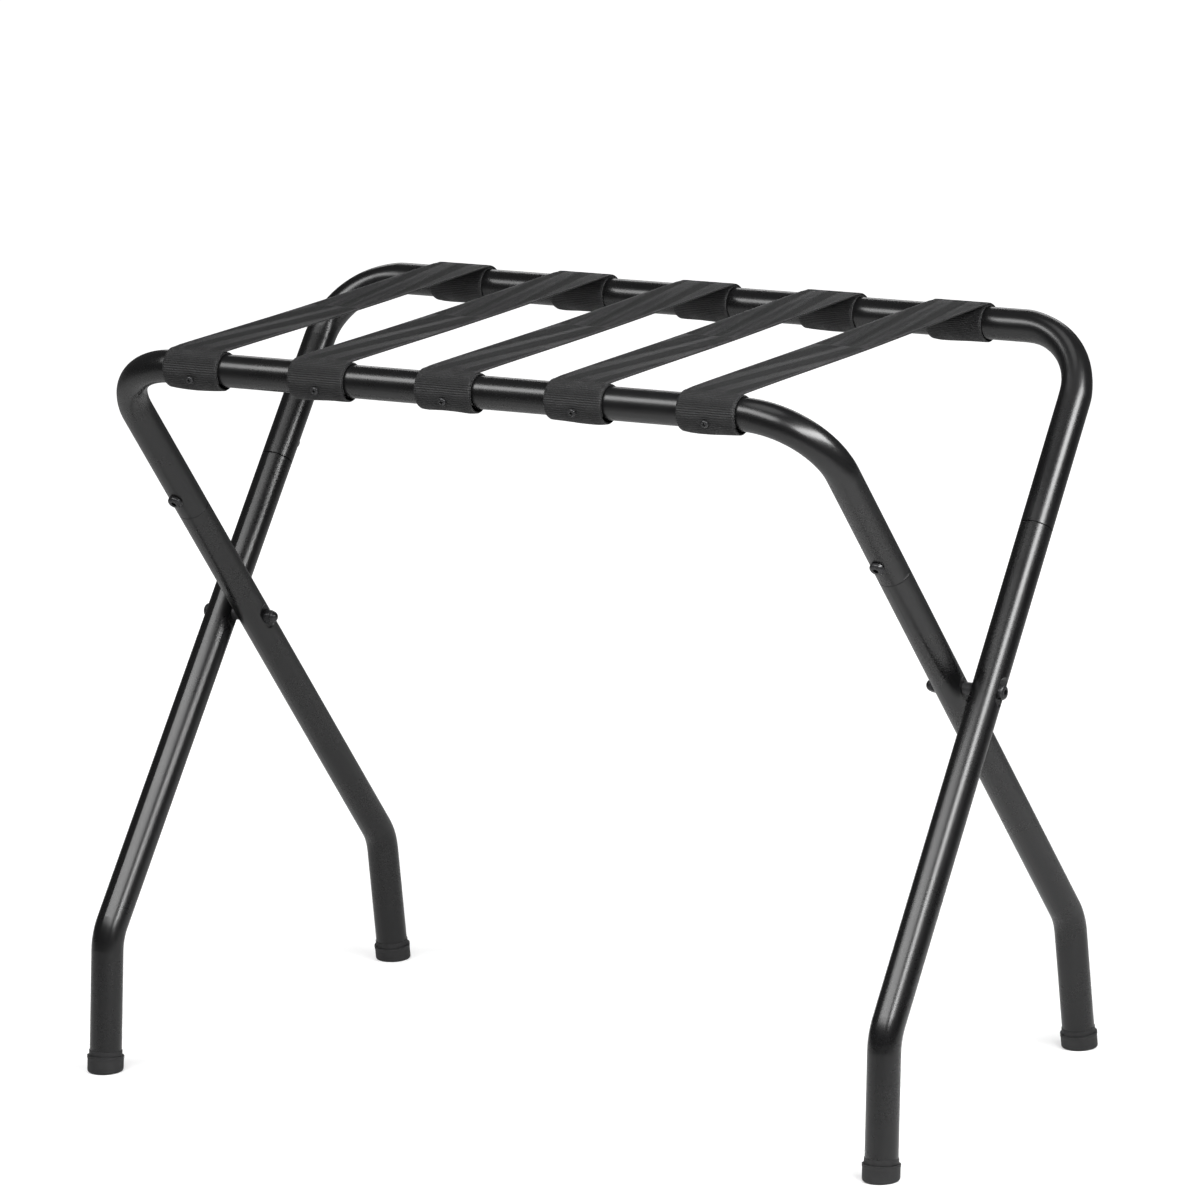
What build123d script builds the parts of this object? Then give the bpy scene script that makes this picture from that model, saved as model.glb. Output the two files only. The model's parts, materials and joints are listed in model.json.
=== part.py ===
from build123d import *
from math import atan2, cos, degrees, radians, sin, tan
import os

# Folding luggage rack: two U-shaped steel tube frames crossed on two pivot bolts, with five
# webbing straps from rail to rail. Millimetres, +X to the right, +Y to the rear, +Z up.
# The origin is on the floor, midway between the four feet, with the rack standing open.

# Tube
TUBE_R = 12.5
WALL = 1.2
BORE_R = TUBE_R - WALL

# Side view of a leg, the same for both frames, mirrored front to back
RAIL_Y = 187.5
RAIL_Z = 563.0
KINK_Y = 174.0
KINK_Z = 105.5
FOOT_Y = 185.3
CORNER_BEND = 60.0
KINK_BEND = 39.0

# The press that makes the rail corners squeezes the tube a little out of round there
SQUEEZE = 0.08
SQUEEZE_RAMP = 22.0
BEND_STEPS = 12

# Half widths at the rail, the kink and the floor: the inner frame stands inside the outer one
INNER_RAIL_X = 306.0
INNER_KINK_X = 313.0
INNER_FOOT_X = 313.5
OUTER_RAIL_X = 337.3
OUTER_KINK_X = 342.4
OUTER_FOOT_X = 342.7

# Leg joint: distance from the rail corner down the leg to the upper tube's cut end
INNER_SEAM = 170.5
OUTER_SEAM = 166.5
NECK_R = 11.2
NECK_WALL = 1.2
NECK_LENGTH = 45.0
SHOULDER_R = 1.2
NECK_TAPER = 4.0
SCREW_ABOVE_SEAM = 21.0

# Fasteners
BOLT_R = 3.0
HOLE_R = 3.05
HEAD_R = 5.7
LOCK_HEAD_HEIGHT = 3.6
PIVOT_HEAD_HEIGHT = 3.8
SOCKET_ACROSS = 4.0
SOCKET_DEPTH = 2.2
LOCK_SCREW_LENGTH = 9.0
INSERT_R = 4.4
INSERT_LENGTH = 7.4
NUT_ACROSS = 10.0
NUT_HEX_HEIGHT = 5.0
NUT_DOME_R = 4.7
SPACER_R = 5.0
RUNNING_GAP = 0.15

# Pressed seats round the pivot holes
SEAT_DEPTH = 1.4
SEAT_R = 9.5
SEAT_MOUTH_R = 14.0
SEAT_MOUTH_HEIGHT = 2.6

# Rubber foot cap
CAP_BORE_R = 12.55
CAP_R = 14.1
CAP_LIP_R = 14.4
CAP_HEIGHT = 12.5
CAP_LIP_HEIGHT = 1.6
CAP_COLLAR_R = 12.95
CAP_COLLAR_HEIGHT = 4.2
CAP_FLOOR = 4.0
CAP_EDGE = 2.0

# Webbing
STRAP_COUNT = 5
STRAP_PITCH = 111.5
STRAP_WIDTH = 48.0
WEBBING = 1.4
WRAP_R = 12.6
STRAP_SCREW_DROP = 22.0
STRAP_SCREW_R = 2.0
STRAP_SCREW_LENGTH = 11.0
STRAP_HEAD_R = 3.1
STRAP_HEAD_HEIGHT = 2.0
CROSS_SLOT = 0.9
CROSS_LENGTH = 3.2
CROSS_DEPTH = 1.2
SPAN_START = 6.0
SPAN_SPLIT = 95.0
SPAN_GAP = 0.5
SPAN_LIFT = 0.2

LEFT, RIGHT = -1, 1
INNER, OUTER = "inner", "outer"
FRAME_SIGN = {INNER: 1, OUTER: -1}
RAIL_X = {INNER: INNER_RAIL_X, OUTER: OUTER_RAIL_X}
KINK_X = {INNER: INNER_KINK_X, OUTER: OUTER_KINK_X}
FOOT_X = {INNER: INNER_FOOT_X, OUTER: OUTER_FOOT_X}
SEAM = {INNER: INNER_SEAM, OUTER: OUTER_SEAM}
SIDE_NAME = {LEFT: "left", RIGHT: "right"}


def rail_corner(frame, side):
    """Where the rail's centre line and a leg's centre line meet."""
    return Vector(side * RAIL_X[frame], -FRAME_SIGN[frame] * RAIL_Y, RAIL_Z)


def kink_corner(frame, side):
    """Where the leg's long stretch and its foot stretch meet."""
    return Vector(side * KINK_X[frame], FRAME_SIGN[frame] * KINK_Y, KINK_Z)


def foot_point(frame, side):
    """The foot stretch's centre line at the floor."""
    return Vector(side * FOOT_X[frame], FRAME_SIGN[frame] * FOOT_Y, 0)


def leg_direction(frame, side):
    """Unit vector down the leg's long stretch."""
    return (kink_corner(frame, side) - rail_corner(frame, side)).normalized()


def leg_point(frame, side, distance):
    """A point on the leg's centre line, at a distance from the rail corner."""
    return rail_corner(frame, side) + leg_direction(frame, side) * distance


def foot_direction(frame, side):
    """Unit vector up the foot stretch."""
    return (kink_corner(frame, side) - foot_point(frame, side)).normalized()


def pivot_point(frame, side):
    """Where the leg's centre line crosses the plane midway between the rails."""
    corner = rail_corner(frame, side)
    direction = leg_direction(frame, side)
    return corner + direction * (-corner.Y / direction.Y)


def underside(frame, side):
    """Unit vector square to the leg, pointing away from the rack on the leg's lower side."""
    direction = leg_direction(frame, side)
    across = Vector(1, 0, 0) - direction * direction.X
    normal = direction.cross(across).normalized()
    return normal if normal.Z < 0 else -normal


def rod(start, direction, radius, length):
    """A cylinder from a point along a direction."""
    return Plane(origin=start, z_dir=direction) * Cylinder(
        radius, length, align=(Align.CENTER, Align.CENTER, Align.MIN)
    )


def cone(start, direction, start_radius, end_radius, length):
    """A truncated cone from a point along a direction."""
    return Plane(origin=start, z_dir=direction) * Cone(
        start_radius, end_radius, length, align=(Align.CENTER, Align.CENTER, Align.MIN)
    )


def bent_rod(points, radii, radius):
    """A round bar along straight runs joined by tangent arcs."""
    path = FilletPolyline(*points, radius=radii)
    start = Plane(origin=points[0], z_dir=points[1] - points[0])
    return sweep(start * Circle(radius), path=path)


def eased(share):
    """Smooth step from 0 to 1."""
    return share * share * (3 - 2 * share)


def oval(point, tangent, inward, radius_drop, squeeze):
    """A tube section, thinner in the plane of its bend and wider across it."""
    flat = TUBE_R * (1 - SQUEEZE * squeeze) - radius_drop
    wide = TUBE_R * (1 + SQUEEZE * squeeze / 2) - radius_drop
    return Plane(origin=point, x_dir=inward, z_dir=tangent) * Ellipse(flat, wide)


def squeezed_corner(before, corner, after, radius_drop):
    """The bend at a rail corner, round at both ends and oval between them, with its two end points."""
    arrive = (corner - before).normalized()
    leave = (after - corner).normalized()
    turn = radians(arrive.get_angle(leave))
    start = corner - arrive * CORNER_BEND * tan(turn / 2)
    inward = (leave - arrive * arrive.dot(leave)).normalized()
    centre = start + inward * CORNER_BEND
    sections = []
    for step in range(BEND_STEPS + 1):
        angle = turn * step / BEND_STEPS
        outward = inward * -cos(angle) + arrive * sin(angle)
        tangent = arrive * cos(angle) + inward * sin(angle)
        from_end = CORNER_BEND * min(angle, turn - angle)
        squeeze = eased(min(1, from_end / SQUEEZE_RAMP))
        sections.append(oval(centre + outward * CORNER_BEND, tangent, -outward, radius_drop, squeeze))
    end = corner + leave * CORNER_BEND * tan(turn / 2)
    return loft(sections), start, end


def rail_bar(frame, radius_drop):
    """The solid outline of a bent upper tube: leg, corner, rail, corner, leg."""
    ends = [leg_point(frame, side, SEAM[frame]) for side in (LEFT, RIGHT)]
    corners = [rail_corner(frame, side) for side in (LEFT, RIGHT)]
    radius = TUBE_R - radius_drop
    left_bend, left_low, left_high = squeezed_corner(ends[0], corners[0], corners[1], radius_drop)
    right_bend, right_high, right_low = squeezed_corner(corners[0], corners[1], ends[1], radius_drop)
    bar = left_bend + right_bend
    for start, end in ((ends[0], left_low), (left_high, right_high), (right_low, ends[1])):
        bar += rod(start, end - start, radius, (end - start).length)
    return bar


def seats(frame, side, inset, grow):
    """The pressed seats on both faces of a leg at its pivot, as solids to take away."""
    centre = pivot_point(frame, side)
    flat = TUBE_R - SEAT_DEPTH - inset
    shapes = []
    for way in (LEFT, RIGHT):
        direction = Vector(way, 0, 0)
        shapes.append(
            cone(centre + direction * flat, direction, SEAT_R + grow, SEAT_MOUTH_R + grow, SEAT_MOUTH_HEIGHT)
        )
    return shapes


def upper_tube(frame):
    """Rail, two corner bends and the upper half of both legs, bent from one tube."""
    tube = rail_bar(frame, 0) - rail_bar(frame, WALL)
    for side in (LEFT, RIGHT):
        centre = leg_point(frame, side, SEAM[frame] - SCREW_ABOVE_SEAM)
        tube -= rod(centre, underside(frame, side), HOLE_R, TUBE_R * 2)
    for x in strap_places():
        tube -= rod(rail_centre(frame, x), strap_screw_direction(frame), STRAP_SCREW_R, TUBE_R * 2)
    return tube


def lower_leg(frame, side):
    """Lower half of a leg: a swaged neck under a rounded shoulder, pressed pivot seats and a kinked foot."""
    direction = leg_direction(frame, side)
    neck_top = leg_point(frame, side, SEAM[frame] - NECK_LENGTH)
    seam = leg_point(frame, side, SEAM[frame])
    bore_top = leg_point(frame, side, SEAM[frame] + NECK_TAPER)
    kink = kink_corner(frame, side)
    foot_end = foot_point(frame, side) + foot_direction(frame, side) * CAP_FLOOR
    neck_bore = NECK_R - NECK_WALL

    outside = bent_rod([seam, kink, foot_end], [KINK_BEND], TUBE_R)
    shoulder = outside.edges().filter_by(GeomType.CIRCLE).sort_by_distance(seam)[0]
    outside = fillet(shoulder, SHOULDER_R)
    for seat in seats(frame, side, 0, 0):
        outside -= seat
    outside += rod(neck_top, direction, NECK_R, NECK_LENGTH)

    inside = bent_rod([bore_top, kink, foot_end], [KINK_BEND], BORE_R)
    for seat in seats(frame, side, WALL, WALL / 2):
        inside -= seat
    inside += cone(seam, direction, neck_bore, BORE_R, NECK_TAPER)
    inside += rod(neck_top, direction, neck_bore, NECK_LENGTH)

    leg = outside - inside
    pivot = pivot_point(frame, side)
    leg -= rod(pivot - Vector(TUBE_R * 2, 0, 0), Vector(1, 0, 0), HOLE_R, TUBE_R * 4)
    screw_centre = leg_point(frame, side, SEAM[frame] - SCREW_ABOVE_SEAM)
    leg -= rod(screw_centre, underside(frame, side), INSERT_R, TUBE_R * 2)
    return leg


def domed_head(radius, height):
    """A button head standing on the XY plane, with a hexagon socket in its crown."""
    head = Cylinder(radius, height, align=(Align.CENTER, Align.CENTER, Align.MIN))
    head = fillet(head.edges().sort_by(Axis.Z)[-1], height * 0.62)
    socket = extrude(RegularPolygon(SOCKET_ACROSS / 2, 6, major_radius=False), SOCKET_DEPTH)
    return head - Pos(0, 0, height - SOCKET_DEPTH) * socket


def lock_screw(frame, side):
    """Button-head screw that locks the lower tube's neck in the upper tube."""
    centre = leg_point(frame, side, SEAM[frame] - SCREW_ABOVE_SEAM)
    seat = centre + underside(frame, side) * TUBE_R
    screw = domed_head(HEAD_R, LOCK_HEAD_HEIGHT)
    screw += Cylinder(BOLT_R, LOCK_SCREW_LENGTH, align=(Align.CENTER, Align.CENTER, Align.MAX))
    return Plane(origin=seat, z_dir=underside(frame, side)) * screw


def lock_insert(frame, side):
    """Threaded insert fixed in the neck, which the lock screw turns into."""
    centre = leg_point(frame, side, SEAM[frame] - SCREW_ABOVE_SEAM)
    flush = NECK_R - WALL + 0.15
    outward = underside(frame, side)
    start = centre + outward * (flush - INSERT_LENGTH)
    sleeve = rod(start, outward, INSERT_R - 0.05, INSERT_LENGTH)
    return sleeve - rod(start, outward, HOLE_R, INSERT_LENGTH)


def foot_cap(frame, side):
    """Rubber cap over the tube's end, with a flared lip, a thin collar and a flat sole."""
    foot = foot_point(frame, side)
    up = foot_direction(frame, side)
    skirt = 4.0
    shape = rod(foot - up * skirt, up, CAP_R, CAP_HEIGHT - CAP_LIP_HEIGHT + skirt)
    shape &= Pos(foot.X, foot.Y, 0) * Box(60, 60, 60, align=(Align.CENTER, Align.CENTER, Align.MIN))
    shape = fillet(shape.edges().group_by(Axis.Z)[0], CAP_EDGE)
    shape += cone(foot + up * (CAP_HEIGHT - 2 * CAP_LIP_HEIGHT), up, CAP_R, CAP_LIP_R, CAP_LIP_HEIGHT)
    shape += rod(foot + up * (CAP_HEIGHT - CAP_LIP_HEIGHT), up, CAP_LIP_R, CAP_LIP_HEIGHT)
    shape += rod(foot + up * (CAP_HEIGHT - 1), up, CAP_COLLAR_R, CAP_COLLAR_HEIGHT + 1)
    return shape - rod(foot + up * CAP_FLOOR, up, CAP_BORE_R, CAP_HEIGHT * 2)


def pivot_bolt(side):
    """Bolt through both legs, its head on the outer leg's outer face."""
    centre = pivot_point(OUTER, side)
    outward = Vector(side, 0, 0)
    seat = centre + outward * (TUBE_R - SEAT_DEPTH + RUNNING_GAP)
    inner_face = pivot_point(INNER, side) - outward * (TUBE_R - SEAT_DEPTH)
    length = abs(seat.X - inner_face.X) + NUT_HEX_HEIGHT + 1.5
    bolt = domed_head(HEAD_R, PIVOT_HEAD_HEIGHT)
    bolt += Cylinder(BOLT_R, length, align=(Align.CENTER, Align.CENTER, Align.MAX))
    return Plane(origin=seat, z_dir=outward) * bolt


def pivot_nut(side):
    """Domed nut on the bolt's end, on the inner leg's inner face."""
    inward = Vector(-side, 0, 0)
    seat = pivot_point(INNER, side) + inward * (TUBE_R - SEAT_DEPTH)
    nut = extrude(RegularPolygon(NUT_ACROSS / 2, 6, major_radius=False), NUT_HEX_HEIGHT)
    nut &= Cone(NUT_ACROSS * 0.62, NUT_ACROSS * 0.5, NUT_HEX_HEIGHT, align=(Align.CENTER, Align.CENTER, Align.MIN))
    nut += Pos(0, 0, NUT_HEX_HEIGHT) * Sphere(NUT_DOME_R)
    nut -= Cylinder(HOLE_R, NUT_HEX_HEIGHT + 2.0, align=(Align.CENTER, Align.CENTER, Align.MIN))
    return Plane(origin=seat, z_dir=inward) * nut


def pivot_spacer(side):
    """Round sleeve on the bolt, between the two legs."""
    outward = Vector(side, 0, 0)
    start = pivot_point(INNER, side) + outward * (TUBE_R - SEAT_DEPTH)
    end = pivot_point(OUTER, side) - outward * (TUBE_R - SEAT_DEPTH + RUNNING_GAP)
    length = abs(end.X - start.X)
    return rod(start, outward, SPACER_R, length) - rod(start, outward, HOLE_R, length)


def strap_places():
    """The straps' middles along the rails, left to right."""
    return [(n - (STRAP_COUNT - 1) / 2) * STRAP_PITCH for n in range(STRAP_COUNT)]


def rail_centre(frame, x):
    """A point on the rail's centre line."""
    return Vector(x, -FRAME_SIGN[frame] * RAIL_Y, RAIL_Z)


def strap_screw_direction(frame):
    """Out of the rail's outer face, a little below the horizontal."""
    drop = radians(STRAP_SCREW_DROP)
    return Vector(0, -FRAME_SIGN[frame] * cos(drop), -sin(drop))


def strap_wrap(frame, x):
    """Webbing round the rail: one full turn, and a second layer from the top over the outer face."""
    full = Circle(WRAP_R + WEBBING) - Circle(WRAP_R)
    second = Circle(WRAP_R + 2 * WEBBING) - Circle(WRAP_R + WEBBING)
    reach = WRAP_R * 2
    lap = Polyline(
        (0, 0), (0, reach), (reach, reach), (reach, -reach), (reach * 0.35, -reach), (0, 0)
    )
    section = full + (second & make_face(lap))
    plane = Plane(
        origin=rail_centre(frame, x - STRAP_WIDTH / 2),
        x_dir=(0, -FRAME_SIGN[frame], 0),
        z_dir=(FRAME_SIGN[frame], 0, 0),
    )
    if FRAME_SIGN[frame] < 0:
        plane = plane.offset(-STRAP_WIDTH)
    wrap = extrude(plane * section, STRAP_WIDTH)
    return wrap - rod(rail_centre(frame, x), strap_screw_direction(frame), STRAP_SCREW_R, TUBE_R * 2)


def strap_screws(frame):
    """Small pan-head screws that fix the straps' ends to the rail."""
    outward = strap_screw_direction(frame)
    seat = WRAP_R + 2 * WEBBING + 0.02
    screw = Cylinder(STRAP_HEAD_R, STRAP_HEAD_HEIGHT, align=(Align.CENTER, Align.CENTER, Align.MIN))
    screw = fillet(screw.edges().sort_by(Axis.Z)[-1], STRAP_HEAD_HEIGHT * 0.7)
    for angle in (0, 90):
        slot = Rot(0, 0, angle) * Box(CROSS_LENGTH, CROSS_SLOT, 2 * CROSS_DEPTH)
        screw -= Pos(0, 0, STRAP_HEAD_HEIGHT) * slot
    screw += Cylinder(STRAP_SCREW_R - 0.05, STRAP_SCREW_LENGTH, align=(Align.CENTER, Align.CENTER, Align.MAX))
    screws = []
    for x in strap_places():
        plane = Plane(origin=rail_centre(frame, x) + outward * seat, z_dir=outward)
        screws.append(plane * screw)
    return Compound(children=screws)


def strap_stretch(frame, x, start, end):
    """A flat stretch of webbing, between two distances from the rail's centre line."""
    inward = FRAME_SIGN[frame]
    low = RAIL_Z + WRAP_R + WEBBING + SPAN_LIFT
    middle = -inward * RAIL_Y + inward * (start + end) / 2
    return Pos(x, middle, low) * Box(
        STRAP_WIDTH, end - start, WEBBING, align=(Align.CENTER, Align.CENTER, Align.MIN)
    )


def build():
    """Every node of the rack, by name."""
    nodes = {}
    for frame in (INNER, OUTER):
        nodes[f"{frame}_upper_frame"] = upper_tube(frame)
        for side in (LEFT, RIGHT):
            place = f"{frame}_{SIDE_NAME[side]}"
            nodes[f"{place}_lower_leg"] = lower_leg(frame, side)
            nodes[f"{place}_foot_cap"] = foot_cap(frame, side)
            nodes[f"{place}_lock_screw"] = lock_screw(frame, side)
            nodes[f"{place}_lock_insert"] = lock_insert(frame, side)
    for side in (LEFT, RIGHT):
        nodes[f"{SIDE_NAME[side]}_pivot_bolt"] = pivot_bolt(side)
        nodes[f"{SIDE_NAME[side]}_pivot_nut"] = pivot_nut(side)
        nodes[f"{SIDE_NAME[side]}_pivot_spacer"] = pivot_spacer(side)
    for end, frame in (("front", INNER), ("rear", OUTER)):
        nodes[f"{end}_strap_screws"] = strap_screws(frame)
        for number, x in enumerate(strap_places(), 1):
            strap = f"strap_{number}_{end}"
            nodes[f"{strap}_wrap"] = strap_wrap(frame, x)
            nodes[f"{strap}_root"] = strap_stretch(frame, x, SPAN_START, SPAN_SPLIT - SPAN_GAP)
            nodes[f"{strap}_span"] = strap_stretch(frame, x, SPAN_SPLIT, RAIL_Y - SPAN_GAP)
    return nodes


os.makedirs("parts", exist_ok=True)
for name, shape in build().items():
    export_step(shape, f"parts/{name}.step")

pivot_height = pivot_point(INNER, RIGHT).Z
leg_lean = degrees(atan2(RAIL_Y + KINK_Y, RAIL_Z - KINK_Z))
print(f"pivot height {pivot_height:.3f} mm, leg lean {leg_lean:.2f} degrees")
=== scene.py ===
import json
from math import cos, exp, pi, radians, sin

import bmesh
import bpy
from mathutils import Matrix, Vector


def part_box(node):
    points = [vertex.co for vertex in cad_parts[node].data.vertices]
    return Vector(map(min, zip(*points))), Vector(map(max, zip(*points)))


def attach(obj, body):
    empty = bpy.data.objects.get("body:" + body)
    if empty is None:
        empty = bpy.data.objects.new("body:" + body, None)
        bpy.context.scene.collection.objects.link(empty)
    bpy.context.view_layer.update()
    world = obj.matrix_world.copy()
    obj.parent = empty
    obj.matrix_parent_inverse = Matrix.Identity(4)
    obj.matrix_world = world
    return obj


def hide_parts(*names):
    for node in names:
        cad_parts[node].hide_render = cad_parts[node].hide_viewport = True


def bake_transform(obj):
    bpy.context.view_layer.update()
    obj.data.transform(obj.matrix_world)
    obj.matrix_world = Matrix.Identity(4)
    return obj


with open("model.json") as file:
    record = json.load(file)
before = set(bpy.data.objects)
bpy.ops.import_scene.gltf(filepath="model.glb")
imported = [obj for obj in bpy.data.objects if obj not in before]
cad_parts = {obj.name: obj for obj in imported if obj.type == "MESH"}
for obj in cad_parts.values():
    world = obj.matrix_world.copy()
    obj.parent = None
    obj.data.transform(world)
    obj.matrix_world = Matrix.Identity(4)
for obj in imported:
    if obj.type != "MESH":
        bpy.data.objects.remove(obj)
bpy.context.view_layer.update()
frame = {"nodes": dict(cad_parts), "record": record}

# ---------------------------------------------------------------- sizes read from the frame
MM = 0.001
TUBE_R = 12.5 * MM
inner_low, inner_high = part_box("inner_upper_frame")
outer_low, outer_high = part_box("outer_upper_frame")
RAIL_Z = inner_high.z - TUBE_R
RAIL_Y = {"front": inner_low.y + TUBE_R, "rear": outer_high.y - TUBE_R}
BODY = {"front": "inner_frame", "rear": "outer_frame"}
STRAPS = (1, 2, 3, 4, 5)

# ---------------------------------------------------------------- webbing
THICK = 1.4 * MM
RING_MID = 13.3 * MM
LAP_MID = 14.7 * MM
LAP_TOP = 15.4 * MM
ARC_TOP = 15.1 * MM
BAND_TOP = 15.5 * MM
RIB_PITCH = 1.65 * MM
RIB_HEIGHT = 0.17 * MM
BULGE = 1.3 * MM
SAG = 1.0 * MM
MEETING_GAP = 0.03 * MM
SCREW_ANGLE = radians(360 - 22)
WRAP_START, WRAP_END = radians(-35), radians(456)
DECK_ANGLE = radians(450)
LAP_STARTS, LAP_RAMP = radians(232), radians(70)
BULGE_ANGLE, BULGE_SPREAD = radians(283), radians(27)
DIMPLE_DEPTH, DIMPLE_REACH = 0.28 * MM, 5.5 * MM
TUCK_ANGLE = radians(436)
EASE = radians(20)
BAND_ARC = radians(75)
BAND_RISE = 9 * MM
SELVEDGE_FADE = 2.2 * MM

# ---------------------------------------------------------------- light
WORLD_LIGHT = 0.08
WORLD_SEEN = 0.96
FLOOR_GLOW = (0.28, 0.92)


def smooth(t):
    t = min(1.0, max(0.0, t))
    return t * t * (3 - 2 * t)


def loop_profile(width, columns_top, columns_bottom):
    """Points (across, side, selvedge) round a strip's section; side is 1 on top, -1 below."""
    half = width / 2
    radius = THICK / 2
    flat = half - radius
    points = []
    for k in range(columns_top + 1):
        across = -flat + 2 * flat * k / columns_top
        points.append((across, 1.0, smooth((flat - abs(across)) / SELVEDGE_FADE)))
    for angle in (45, 0, -45):
        points.append((flat + radius * cos(radians(angle)), sin(radians(angle)), 0.0))
    for k in range(columns_bottom + 1):
        across = flat - 2 * flat * k / columns_bottom
        points.append((across, -1.0, smooth((flat - abs(across)) / SELVEDGE_FADE)))
    for angle in (-135, -180, -225):
        points.append((-flat + radius * cos(radians(angle)), sin(radians(angle)), 0.0))
    return points


def strip(name, x_mid, width, stations, surface):
    """A closed strip of webbing. surface(station, across) gives the mid-line point, its outward
    normal, the thickness, the rib height and the length along the webbing from its middle."""
    profile = loop_profile(width, 18, 8)
    verts, faces, uvs = [], [], []
    for station in stations:
        for across, side, rib in profile:
            point, normal, thickness, rib_height, length = surface(station, across)
            wave = length + 0.25 * MM * sin(across * 260 + length * 40) * rib
            ribs = rib_height * rib * cos(2 * pi * wave / RIB_PITCH)
            selvedge = 0.10 * MM * exp(-((abs(across) - width / 2 + 1.6 * MM) / (1.0 * MM)) ** 2)
            lift = side * thickness / 2
            if abs(side) == 1.0:
                lift += side * (ribs + selvedge)
            verts.append((x_mid + across, point[0] + normal[0] * lift, point[1] + normal[1] * lift))
            uvs.append((across, length))
    around = len(profile)
    for i in range(len(stations) - 1):
        for k in range(around):
            a = i * around + k
            b = i * around + (k + 1) % around
            faces.append((a, b, b + around, a + around))
    faces.append(tuple(reversed(range(around))))
    last = (len(stations) - 1) * around
    faces.append(tuple(range(last, last + around)))
    mesh = bpy.data.meshes.new(name)
    mesh.from_pydata(verts, [], faces)
    layer = mesh.uv_layers.new(name="weave")
    for loop in mesh.loops:
        layer.data[loop.index].uv = uvs[loop.vertex_index]
    mesh.polygons.foreach_set("use_smooth", [True] * len(mesh.polygons))
    mesh.validate()
    mesh.update()
    piece = bpy.data.objects.new(name, mesh)
    bpy.context.scene.collection.objects.link(piece)
    return piece


def fix_normals(piece):
    work = bmesh.new()
    work.from_mesh(piece.data)
    bmesh.ops.recalc_face_normals(work, faces=work.faces)
    work.to_mesh(piece.data)
    work.free()


def spread(low, high, step):
    count = max(2, int(round(abs(high - low) / step)))
    return [low + (high - low) * i / count for i in range(count + 1)]


def polar(end, angle, radius):
    """A point round the rail: angle 0 points out of the rack, a quarter turn is up."""
    outward = -1 if end == "front" else 1
    return (RAIL_Y[end] + outward * radius * cos(angle), RAIL_Z + radius * sin(angle))


def polar_normal(end, angle):
    outward = -1 if end == "front" else 1
    return (outward * cos(angle), sin(angle))


def wrap_piece(number, end):
    low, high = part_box(f"strap_{number}_{end}_wrap")
    x_mid, width = (low.x + high.x) / 2, high.x - low.x
    phase = number * 1.7 + (0.9 if end == "rear" else 0.0)

    def surface(angle, across):
        turn = smooth((angle - LAP_STARTS) / LAP_RAMP)
        radius = RING_MID + (LAP_MID - RING_MID) * turn
        sway = 0.62 + 0.38 * sin(across * 105 + phase)
        sway *= 1 - 0.55 * smooth((abs(across) - width * 0.36) / (width * 0.14))
        radius += BULGE * sway * exp(-((angle - BULGE_ANGLE) / BULGE_SPREAD) ** 2)
        along = LAP_MID * (angle - SCREW_ANGLE)
        away = 1 - exp(-(along ** 2 + across ** 2) / (2 * DIMPLE_REACH ** 2))
        puffed = smooth((angle - radians(300)) / EASE) * smooth((radians(425) - angle) / EASE)
        radius += DIMPLE_DEPTH * away * puffed
        radius -= (LAP_TOP - ARC_TOP + 0.03 * MM) * smooth((angle - TUCK_ANGLE) / EASE)
        length = abs(RAIL_Y[end]) + LAP_MID * (DECK_ANGLE - angle)
        ribs = RIB_HEIGHT if angle > radians(190) else RIB_HEIGHT * 0.5
        return polar(end, angle, radius), polar_normal(end, angle), THICK, ribs, length

    stations = spread(WRAP_START, WRAP_END, RIB_PITCH / 4 / LAP_MID)
    piece = strip(f"strap_{number}_{end}_webbing_wrap", x_mid, width, stations, surface)
    fix_normals(piece)
    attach(piece, BODY[end])
    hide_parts(f"strap_{number}_{end}_wrap")
    return piece


def band_piece(number, end):
    low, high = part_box(f"strap_{number}_{end}_span")
    x_mid, width = (low.x + high.x) / 2, high.x - low.x
    inward = 1 if end == "front" else -1
    reach = abs(RAIL_Y[end])
    arc_length = BAND_ARC * LAP_MID

    def surface(distance, across):
        if distance < 0:
            angle = radians(90) + distance / LAP_MID
            thickness = 1.0 * MM
            point = polar(end, angle, ARC_TOP - thickness / 2)
            return point, polar_normal(end, angle), thickness, RIB_HEIGHT * 0.7, reach - distance
        rise = smooth(distance / BAND_RISE)
        thickness = 1.0 * MM + 0.35 * MM * rise
        top = ARC_TOP + (BAND_TOP - ARC_TOP) * rise
        top -= SAG * (1 - cos(pi * distance / reach)) / 2
        top += 0.12 * MM * rise * sin(across * 130 + number) * sin(pi * distance / reach)
        point = (RAIL_Y[end] + inward * distance, RAIL_Z + top - thickness / 2)
        return point, (0.0, 1.0), thickness, RIB_HEIGHT, reach - distance

    stations = spread(-arc_length, 0, RIB_PITCH / 4)[:-1] + spread(0, reach - MEETING_GAP, RIB_PITCH / 4)
    piece = strip(f"strap_{number}_{end}_webbing_band", x_mid, width, stations, surface)
    fix_normals(piece)
    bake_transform(piece)
    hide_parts(f"strap_{number}_{end}_root", f"strap_{number}_{end}_span")
    return piece


# ---------------------------------------------------------------- materials
def new_material(name, base, roughness):
    material = bpy.data.materials.new(name)
    material.use_nodes = True
    tree = material.node_tree
    shader = tree.nodes["Principled BSDF"]
    shader.inputs["Base Color"].default_value = (*base, 1)
    shader.inputs["Roughness"].default_value = roughness
    return material, tree, shader


def noise(tree, coords, scale, detail=2.0, roughness=0.5):
    made = tree.nodes.new("ShaderNodeTexNoise")
    made.inputs["Scale"].default_value = scale
    made.inputs["Detail"].default_value = detail
    made.inputs["Roughness"].default_value = roughness
    tree.links.new(coords, made.inputs["Vector"])
    return made.outputs["Fac"]


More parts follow.
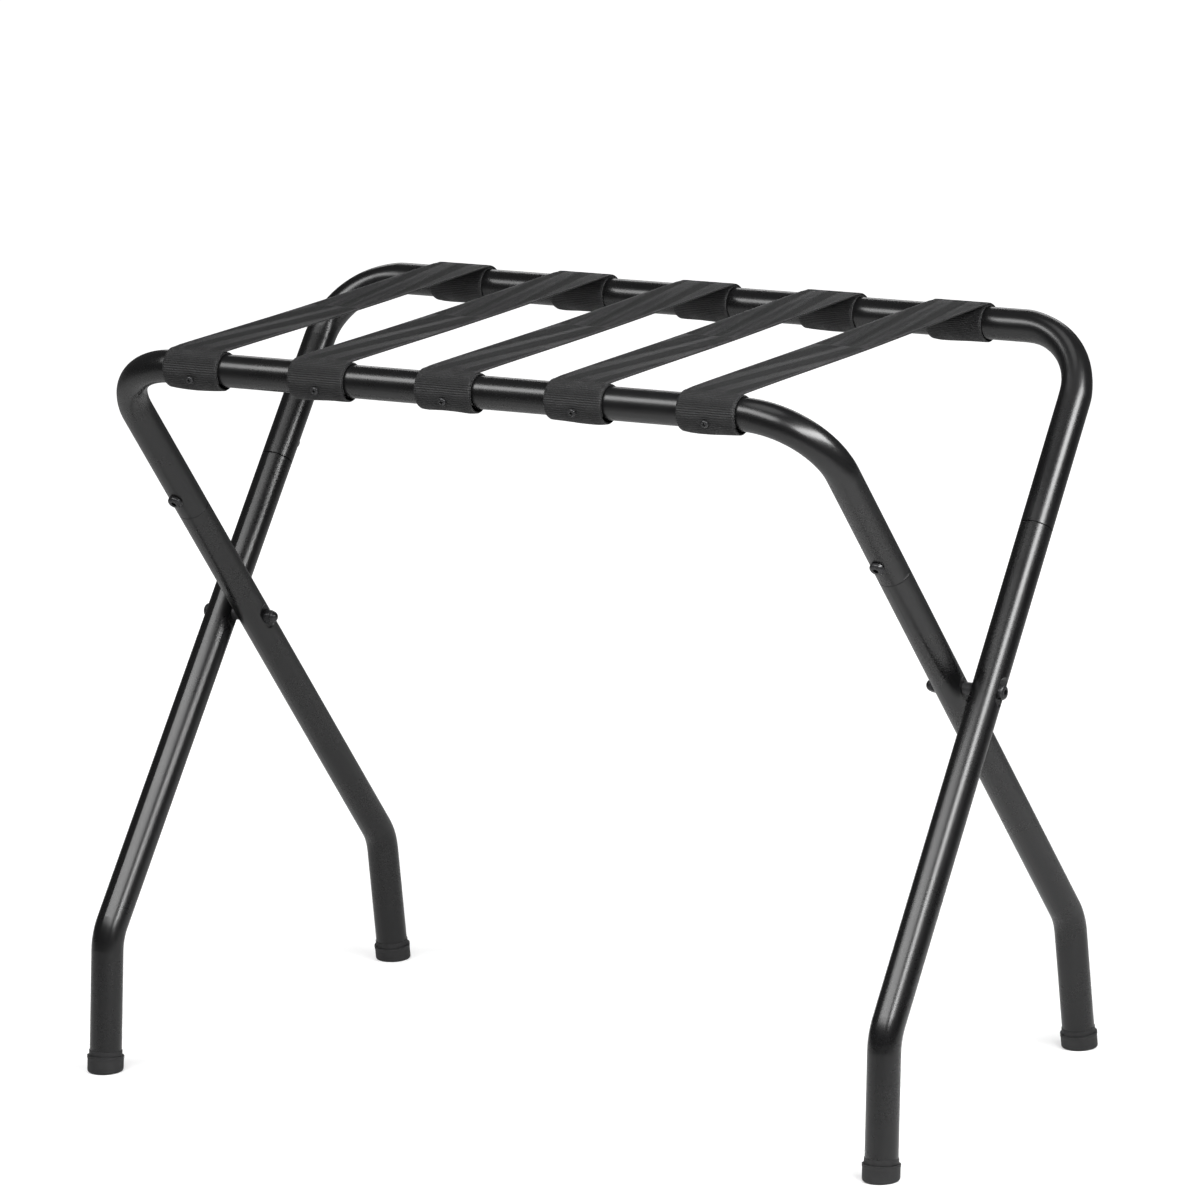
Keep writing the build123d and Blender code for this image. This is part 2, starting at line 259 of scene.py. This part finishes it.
def ranged(tree, value, low, high, to_low, to_high):
    made = tree.nodes.new("ShaderNodeMapRange")
    for socket, number in zip(made.inputs[1:5], (low, high, to_low, to_high)):
        socket.default_value = number
    tree.links.new(value, made.inputs[0])
    return made.outputs[0]


def maths(tree, operation, first, second=None, third=None):
    made = tree.nodes.new("ShaderNodeMath")
    made.operation = operation
    for socket, value in zip(made.inputs, (first, second, third)):
        if value is None:
            continue
        if isinstance(value, (int, float)):
            socket.default_value = value
        else:
            tree.links.new(value, socket)
    return made.outputs[0]


def mixed(tree, factor, first, second):
    made = tree.nodes.new("ShaderNodeMix")
    made.data_type = "RGBA"
    tree.links.new(factor, made.inputs["Factor"])
    for socket, colour in (("A", first), ("B", second)):
        inputs = [s for s in made.inputs if s.name == socket and s.type == "RGBA"]
        if isinstance(colour, tuple):
            inputs[0].default_value = (*colour, 1)
        else:
            tree.links.new(colour, inputs[0])
    return [s for s in made.outputs if s.type == "RGBA"][0]


def bump(tree, shader, height, strength, distance):
    made = tree.nodes.new("ShaderNodeBump")
    made.inputs["Strength"].default_value = strength
    made.inputs["Distance"].default_value = distance
    tree.links.new(height, made.inputs["Height"])
    tree.links.new(made.outputs[0], shader.inputs["Normal"])


def coordinates(tree):
    return tree.nodes.new("ShaderNodeTexCoord").outputs["Object"]


def powder_coat():
    material, tree, shader = new_material("satin_powder_coat", (0.014, 0.014, 0.0145), 0.34)
    coords = coordinates(tree)
    fine = noise(tree, coords, 1100, 3.0, 0.6)
    broad = noise(tree, coords, 14, 4.0, 0.55)
    speck = noise(tree, coords, 420, 2.0, 0.5)
    cloudy = ranged(tree, broad, 0.3, 0.7, 0, 1)
    colour = mixed(tree, cloudy, (0.0030, 0.0030, 0.0032), (0.0045, 0.0045, 0.0048))
    tree.links.new(colour, shader.inputs["Base Color"])
    gloss = ranged(tree, broad, 0.3, 0.7, 0.25, 0.30)
    grain = ranged(tree, speck, 0.35, 0.65, -0.005, 0.01)
    rough = maths(tree, "ADD", gloss, grain)
    tree.links.new(rough, shader.inputs["Roughness"])
    bump(tree, shader, maths(tree, "ADD", fine, maths(tree, "MULTIPLY", speck, 0.8)), 0.02, 0.00006)
    return material


def webbing_cloth():
    material, tree, shader = new_material("black_webbing", (0.010, 0.010, 0.011), 0.5)
    uv = tree.nodes.new("ShaderNodeUVMap")
    uv.uv_map = "weave"
    split = tree.nodes.new("ShaderNodeSeparateXYZ")
    tree.links.new(uv.outputs[0], split.inputs[0])
    across, along = split.outputs[0], split.outputs[1]
    wobble = noise(tree, uv.outputs[0], 70, 2.0, 0.5)
    row = maths(tree, "DIVIDE", along, RIB_PITCH)
    odd = maths(tree, "MULTIPLY", maths(tree, "ROUND", row), 0.5)
    bead_at = maths(tree, "ADD", maths(tree, "DIVIDE", across, 1.15 * MM), odd)
    bead_at = maths(tree, "ADD", bead_at, ranged(tree, wobble, 0, 1, -0.35, 0.35))
    bead = maths(tree, "COSINE", maths(tree, "MULTIPLY", bead_at, 2 * pi))
    rib = maths(tree, "COSINE", maths(tree, "MULTIPLY", row, 2 * pi))
    warp = maths(tree, "COSINE", maths(tree, "MULTIPLY", along, 2 * pi / (0.55 * MM)))
    knob = maths(tree, "MULTIPLY", ranged(tree, bead, -1, 1, 0.2, 1), ranged(tree, rib, -1, 1, 0.15, 1))
    fuzz = noise(tree, uv.outputs[0], 2600, 2.0, 0.6)
    height = maths(tree, "ADD", knob, maths(tree, "MULTIPLY", warp, 0.08))
    height = maths(tree, "ADD", height, maths(tree, "MULTIPLY", fuzz, 0.35))
    bump(tree, shader, height, 0.8, 0.00035)
    # weave colour is painted light: painted shade darkens the valleys between knobs, and a painted
    # highlight lightens the knob tops
    colour = mixed(tree, knob, (0.0012, 0.0012, 0.0014), (0.0065, 0.0065, 0.0072))
    tree.links.new(colour, shader.inputs["Base Color"])
    tree.links.new(ranged(tree, knob, 0.1, 0.9, 0.62, 0.34), shader.inputs["Roughness"])
    shader.inputs["Specular IOR Level"].default_value = 0.45
    shader.inputs["Sheen Weight"].default_value = 0.03
    shader.inputs["Sheen Roughness"].default_value = 0.4
    return material


def rubber():
    material, tree, shader = new_material("moulded_rubber", (0.012, 0.012, 0.0125), 0.62)
    coords = coordinates(tree)
    grain = noise(tree, coords, 1500, 3.0, 0.6)
    dust = noise(tree, coords, 60, 3.0, 0.6)
    dusty = ranged(tree, dust, 0.4, 0.75, 0, 1)
    colour = mixed(tree, dusty, (0.010, 0.010, 0.0105), (0.020, 0.020, 0.0205))
    tree.links.new(colour, shader.inputs["Base Color"])
    tree.links.new(ranged(tree, dust, 0.3, 0.7, 0.56, 0.70), shader.inputs["Roughness"])
    bump(tree, shader, grain, 0.25, 0.0002)
    return material


def dark_plating(name, base, low, high, metallic):
    material, tree, shader = new_material(name, base, low)
    coords = coordinates(tree)
    cloud = noise(tree, coords, 240, 3.0, 0.6)
    fine = noise(tree, coords, 2400, 2.0, 0.6)
    lighter = tuple(c * 1.8 for c in base)
    colour = mixed(tree, ranged(tree, cloud, 0.35, 0.7, 0, 1), base, lighter)
    tree.links.new(colour, shader.inputs["Base Color"])
    tree.links.new(ranged(tree, cloud, 0.3, 0.7, low, high), shader.inputs["Roughness"])
    shader.inputs["Metallic"].default_value = metallic
    bump(tree, shader, fine, 0.12, 0.0001)
    return material


def floor_paint():
    """A pale matt floor with a painted glow that only the camera sees, weak near the rack and strong far
    from it, so it looks white far from the rack, as a cut-out product background does.
    """
    material, tree, shader = new_material("pale_floor", (0.68, 0.68, 0.68), 0.8)
    coords = coordinates(tree)
    cloud = noise(tree, coords, 1.3, 3.0, 0.5)
    tree.links.new(mixed(tree, cloud, (0.67, 0.67, 0.67), (0.69, 0.69, 0.69)), shader.inputs["Base Color"])
    shader.inputs["Specular IOR Level"].default_value = 0.0
    reach = tree.nodes.new("ShaderNodeVectorMath")
    reach.operation = "LENGTH"
    tree.links.new(coords, reach.inputs[0])
    glow = ranged(tree, reach.outputs["Value"], 0.4, 2.6, *FLOOR_GLOW)
    seen = tree.nodes.new("ShaderNodeLightPath").outputs["Is Camera Ray"]
    shader.inputs["Emission Color"].default_value = (1, 1, 1, 1)
    tree.links.new(maths(tree, "MULTIPLY", glow, seen), shader.inputs["Emission Strength"])
    return material


def paint(name, material):
    """Gives a CAD node its material in every slot."""
    mesh = frame["nodes"][name].data
    if not mesh.materials:
        mesh.materials.append(material)
    for index in range(len(mesh.materials)):
        mesh.materials[index] = material


COAT = powder_coat()
WEBBING = webbing_cloth()
MATERIALS = {
    "frame_coat": COAT,
    "foot_rubber": rubber(),
    "webbing": WEBBING,
    "black_hardware": dark_plating("black_plated_steel", (0.016, 0.016, 0.017), 0.24, 0.36, 0.35),
    "spacer_plastic": dark_plating("black_nylon", (0.012, 0.012, 0.0125), 0.42, 0.55, 0.0),
    "plated_steel": dark_plating("zinc_plated_steel", (0.42, 0.42, 0.43), 0.28, 0.42, 1.0),
}
for part in frame["record"]["subparts"]:
    paint(part["node"], MATERIALS[part["material_slot"]])

for number in STRAPS:
    for end in ("front", "rear"):
        for piece in (wrap_piece(number, end), band_piece(number, end)):
            piece.data.materials.append(WEBBING)

# ---------------------------------------------------------------- floor, light, camera
mesh = bpy.data.meshes.new("floor")
mesh.from_pydata([(-25, -25, 0), (25, -25, 0), (25, 25, 0), (-25, 25, 0)], [], [(0, 1, 2, 3)])
floor = bpy.data.objects.new("floor", mesh)
floor.location = (0.35, -0.45, 0)
bpy.context.scene.collection.objects.link(floor)
mesh.materials.append(floor_paint())

world = bpy.data.worlds.new("studio")
bpy.context.scene.world = world
world.use_nodes = True
world_tree = world.node_tree
backdrop = world_tree.nodes["Background"]
backdrop.inputs["Color"].default_value = (1, 1, 1, 1)
seen = world_tree.nodes.new("ShaderNodeLightPath").outputs["Is Camera Ray"]
world_tree.links.new(ranged(world_tree, seen, 0, 1, WORLD_LIGHT, WORLD_SEEN), backdrop.inputs["Strength"])


def soft_box(name, place, target, width, height, watts):
    """A soft box at a place, turned to face a target. Its width stays level."""
    data = bpy.data.lights.new(name, "AREA")
    data.shape = "RECTANGLE"
    data.size, data.size_y, data.energy = width, height, watts
    lamp = bpy.data.objects.new(name, data)
    lamp.location = place
    lamp.rotation_euler = (Vector(place) - Vector(target)).to_track_quat("Z", "Y").to_euler()
    bpy.context.scene.collection.objects.link(lamp)
    return lamp


def ceiling(name, strength, spread_angle):
    """Even light straight down, as from a white ceiling."""
    data = bpy.data.lights.new(name, "SUN")
    data.energy, data.angle = strength, radians(spread_angle)
    lamp = bpy.data.objects.new(name, data)
    lamp.location = (0, 0, 4)
    bpy.context.scene.collection.objects.link(lamp)


ceiling("ceiling", 0.42, 34)
soft_box("right_strip", (1.05, -0.30, 1.04), (0.0, -0.30, 0.25), 1.2, 0.30, 22)
soft_box("front_box", (-0.20, -1.12, 1.57), (-0.02, -0.10, 0.42), 2.0, 0.56, 30)
soft_box("back_box", (-0.75, 1.65, 1.25), (0.0, 0.05, 0.35), 1.6, 0.50, 6)

camera_data = bpy.data.cameras.new("camera")
camera_data.sensor_width = 36
camera_data.lens = 231.556
camera_data.clip_start, camera_data.clip_end = 0.1, 100
camera = bpy.data.objects.new("camera", camera_data)
right = Vector((0.857806, 0.512921, -0.032884))
up = Vector((-0.08552, 0.205524, 0.974908))
back = Vector((0.506809, -0.83347, 0.220165))
turned = Matrix((right, up, back)).transposed().to_4x4()
camera.matrix_world = Matrix.Translation((2.9841, -4.89602, 1.65881)) @ turned
bpy.context.scene.collection.objects.link(camera)
bpy.context.scene.camera = camera
bpy.context.scene.view_settings.view_transform = "Standard"
